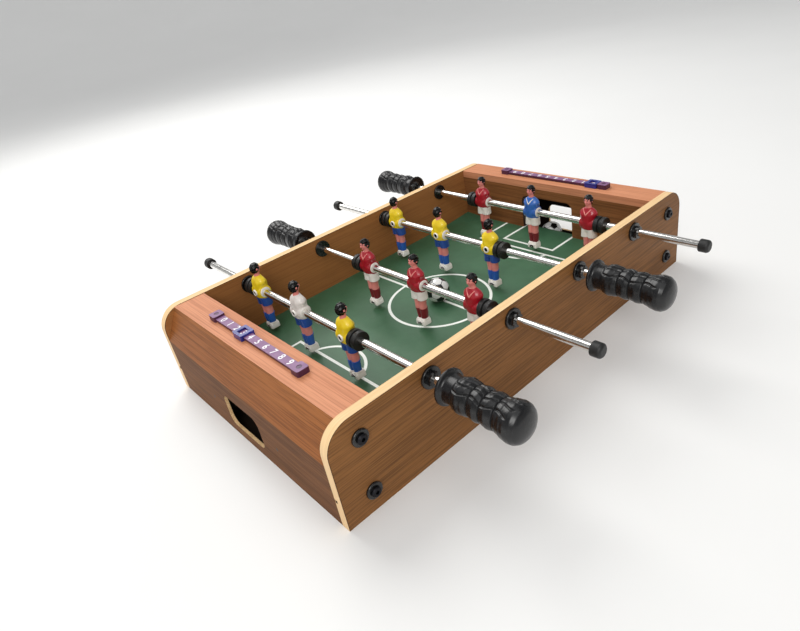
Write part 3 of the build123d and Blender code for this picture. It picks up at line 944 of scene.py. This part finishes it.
def add_ramp(bm, corner_x, corner_y, base, height):
    """One wedge, highest in its corner, with a soft outline."""
    apex = bm.verts.new((corner_x, corner_y, base + height))
    rows = []
    for k in range(RAMP_STEPS + 1):
        a = math.pi / 2 * k / RAMP_STEPS
        out_x, out_y = math.cos(a), math.sin(a)
        reach = 0.9 / (out_x + out_y) + 0.1
        out_x *= math.copysign(RAMP_LENGTH, corner_x) * reach
        out_y *= math.copysign(RAMP_WIDTH, corner_y) * reach
        rows.append([
            bm.verts.new((corner_x - out_x * share, corner_y - out_y * share, base + height * lift))
            for share, lift in RAMP_SLOPE
        ])
    for first, second in zip(rows, rows[1:]):
        bm.faces.new((apex, first[0], second[0]))
        for i in range(len(first) - 1):
            bm.faces.new((first[i], first[i + 1], second[i + 1], second[i]))
    foot = bm.verts.new((corner_x, corner_y, base))
    for row in (rows[0], rows[-1]):
        bm.faces.new([foot, apex] + row)
    for first, second in zip(rows, rows[1:]):
        bm.faces.new((foot, first[-1], second[-1]))


def ramp_mesh():
    low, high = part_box("corner_ramps")
    bm = bmesh.new()
    for sx in (-1, 1):
        for sy in (-1, 1):
            add_ramp(bm, sx * high.x / MM, sy * high.y / MM, low.z / MM, (high.z - low.z) / MM)
    return finish_mesh(bm, "ramps", [FINISH["ramp"]])


place_piece("corner_ramp_set", ramp_mesh(), "cabinet", ["corner_ramps"])


# ---- Score digits, in metres ---------------------------------------------------------------------

DIGIT_STEP = 0.0133
DIGIT_HEIGHT = 0.0098
DIGIT_BOLD = 0.00016
DIGIT_HALF_THICK = 0.00004
# Height of the middle of the digits' thickness above the rail's underside
DIGIT_LEVEL = 0.00363


def digits(end):
    """White figures 0 to 9 standing a hair proud of a score rail."""
    low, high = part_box(f"score_rail_{end}")
    side = 1 if end == "right" else -1
    turn = Matrix.Rotation(side * math.pi / 2, 4, "Z")
    parts = []
    for value in range(10):
        curve = bpy.data.curves.new(f"digit_{value}", "FONT")
        curve.body = str(value)
        curve.size = DIGIT_HEIGHT
        curve.align_x = "CENTER"
        curve.align_y = "CENTER"
        curve.extrude = DIGIT_HALF_THICK
        curve.offset = DIGIT_BOLD
        text = bpy.data.objects.new(curve.name, curve)
        scene.collection.objects.link(text)
        spot = ((low.x + high.x) / 2, side * (value - 4.5) * DIGIT_STEP, low.z + DIGIT_LEVEL)
        text.matrix_world = Matrix.Translation(spot) @ turn
        parts.append(text)
    bpy.context.view_layer.update()
    graph = bpy.context.evaluated_depsgraph_get()
    bm = bmesh.new()
    for text in parts:
        mesh = bpy.data.meshes.new_from_object(text.evaluated_get(graph))
        mesh.transform(text.matrix_world)
        bm.from_mesh(mesh)
        bpy.data.meshes.remove(mesh)
        curve = text.data
        bpy.data.objects.remove(text)
        bpy.data.curves.remove(curve)
    bmesh.ops.remove_doubles(bm, verts=bm.verts, dist=1e-7)
    mesh = bpy.data.meshes.new(f"digits_{end}")
    bm.to_mesh(mesh)
    bm.free()
    mesh.materials.append(FINISH["digit"])
    place_piece(f"score_digits_{end}", mesh, "cabinet", [])


for end in ENDS:
    digits(end)


# ---- Floor, light and camera ---------------------------------------------------------------------

FLAT_FLOOR_RADIUS = 2.6
FLOOR_DROP = 0.0004
LAMP_AIM = (0, 0, 0.05)
LAMP_COLOUR = (1.0, 0.99, 0.97)
# The camera fitted to the photo: its place, lens and shift, and its right, up and forward axes
CAMERA_PLACE = (-0.384024, -0.449918, 0.363205)
CAMERA_LENS = 26.72
CAMERA_SHIFT = (-0.02273, -0.02376)
RIGHT = Vector((0.72008, -0.67605, -0.15634))
UP = Vector((0.43425, 0.26332, 0.86144))
AHEAD = Vector((0.54121, 0.68820, -0.48319))


def floor():
    """A pale sweep: flat round the table, curving up far away."""
    bm = bmesh.new()
    bmesh.ops.create_grid(bm, x_segments=96, y_segments=96, size=8.0)
    for v in bm.verts:
        v.co.z = 0.11 * max(0.0, v.co.xy.length - FLAT_FLOOR_RADIUS) ** 2 - FLOOR_DROP
    for part in bm.faces:
        part.smooth = True
    mesh = bpy.data.meshes.new("floor")
    bm.to_mesh(mesh)
    bm.free()
    paint = Paint("floor_paint", Roughness=0.8, Specular_IOR_Level=0.2)
    tone = paint.noise(0.4, 2.0, 0.5)
    paint.colour(paint.mix(tone, srgb(238, 238, 237), srgb(243, 243, 242)))
    mesh.materials.append(paint.material)
    plane = bpy.data.objects.new("floor", mesh)
    scene.collection.objects.link(plane)


def area_light(name, place, size, power):
    """A round soft lamp aimed at the table."""
    data = bpy.data.lights.new(name, "AREA")
    data.shape = "DISK"
    data.size = size
    data.energy = power
    data.color = LAMP_COLOUR
    lamp = bpy.data.objects.new(name, data)
    lamp.location = place
    lamp.rotation_mode = "QUATERNION"
    lamp.rotation_quaternion = (Vector(LAMP_AIM) - Vector(place)).to_track_quat("-Z", "Y")
    scene.collection.objects.link(lamp)


def overhead():
    """Broad light from above, and an even pale surrounding."""
    sun = bpy.data.lights.new("sky", "SUN")
    sun.energy = 0.75
    sun.angle = 1.2
    sky = bpy.data.objects.new("sky", sun)
    sky.rotation_euler = (0.25, -0.25, 0.0)
    scene.collection.objects.link(sky)
    world = bpy.data.worlds.new("studio")
    world.use_nodes = True
    backdrop = world.node_tree.nodes["Background"]
    backdrop.inputs["Color"].default_value = (0.86, 0.87, 0.88, 1.0)
    backdrop.inputs["Strength"].default_value = 0.34
    scene.world = world


def photo_camera():
    """The camera the photo was taken with, as fitted."""
    lens = bpy.data.cameras.new("camera")
    lens.sensor_width = 36.0
    lens.sensor_fit = "HORIZONTAL"
    lens.lens = CAMERA_LENS
    lens.shift_x, lens.shift_y = CAMERA_SHIFT
    lens.clip_start = 0.01
    camera = bpy.data.objects.new("camera", lens)
    scene.collection.objects.link(camera)
    turn = Matrix((RIGHT, UP, -AHEAD)).transposed().to_4x4()
    camera.matrix_world = Matrix.Translation(CAMERA_PLACE) @ turn
    scene.camera = camera


floor()
area_light("key", (0.15, 1.35, 1.65), 1.7, 30)
area_light("fill", (-1.4, -1.2, 1.35), 1.1, 17)
overhead()
scene.view_settings.view_transform = "Standard"
photo_camera()
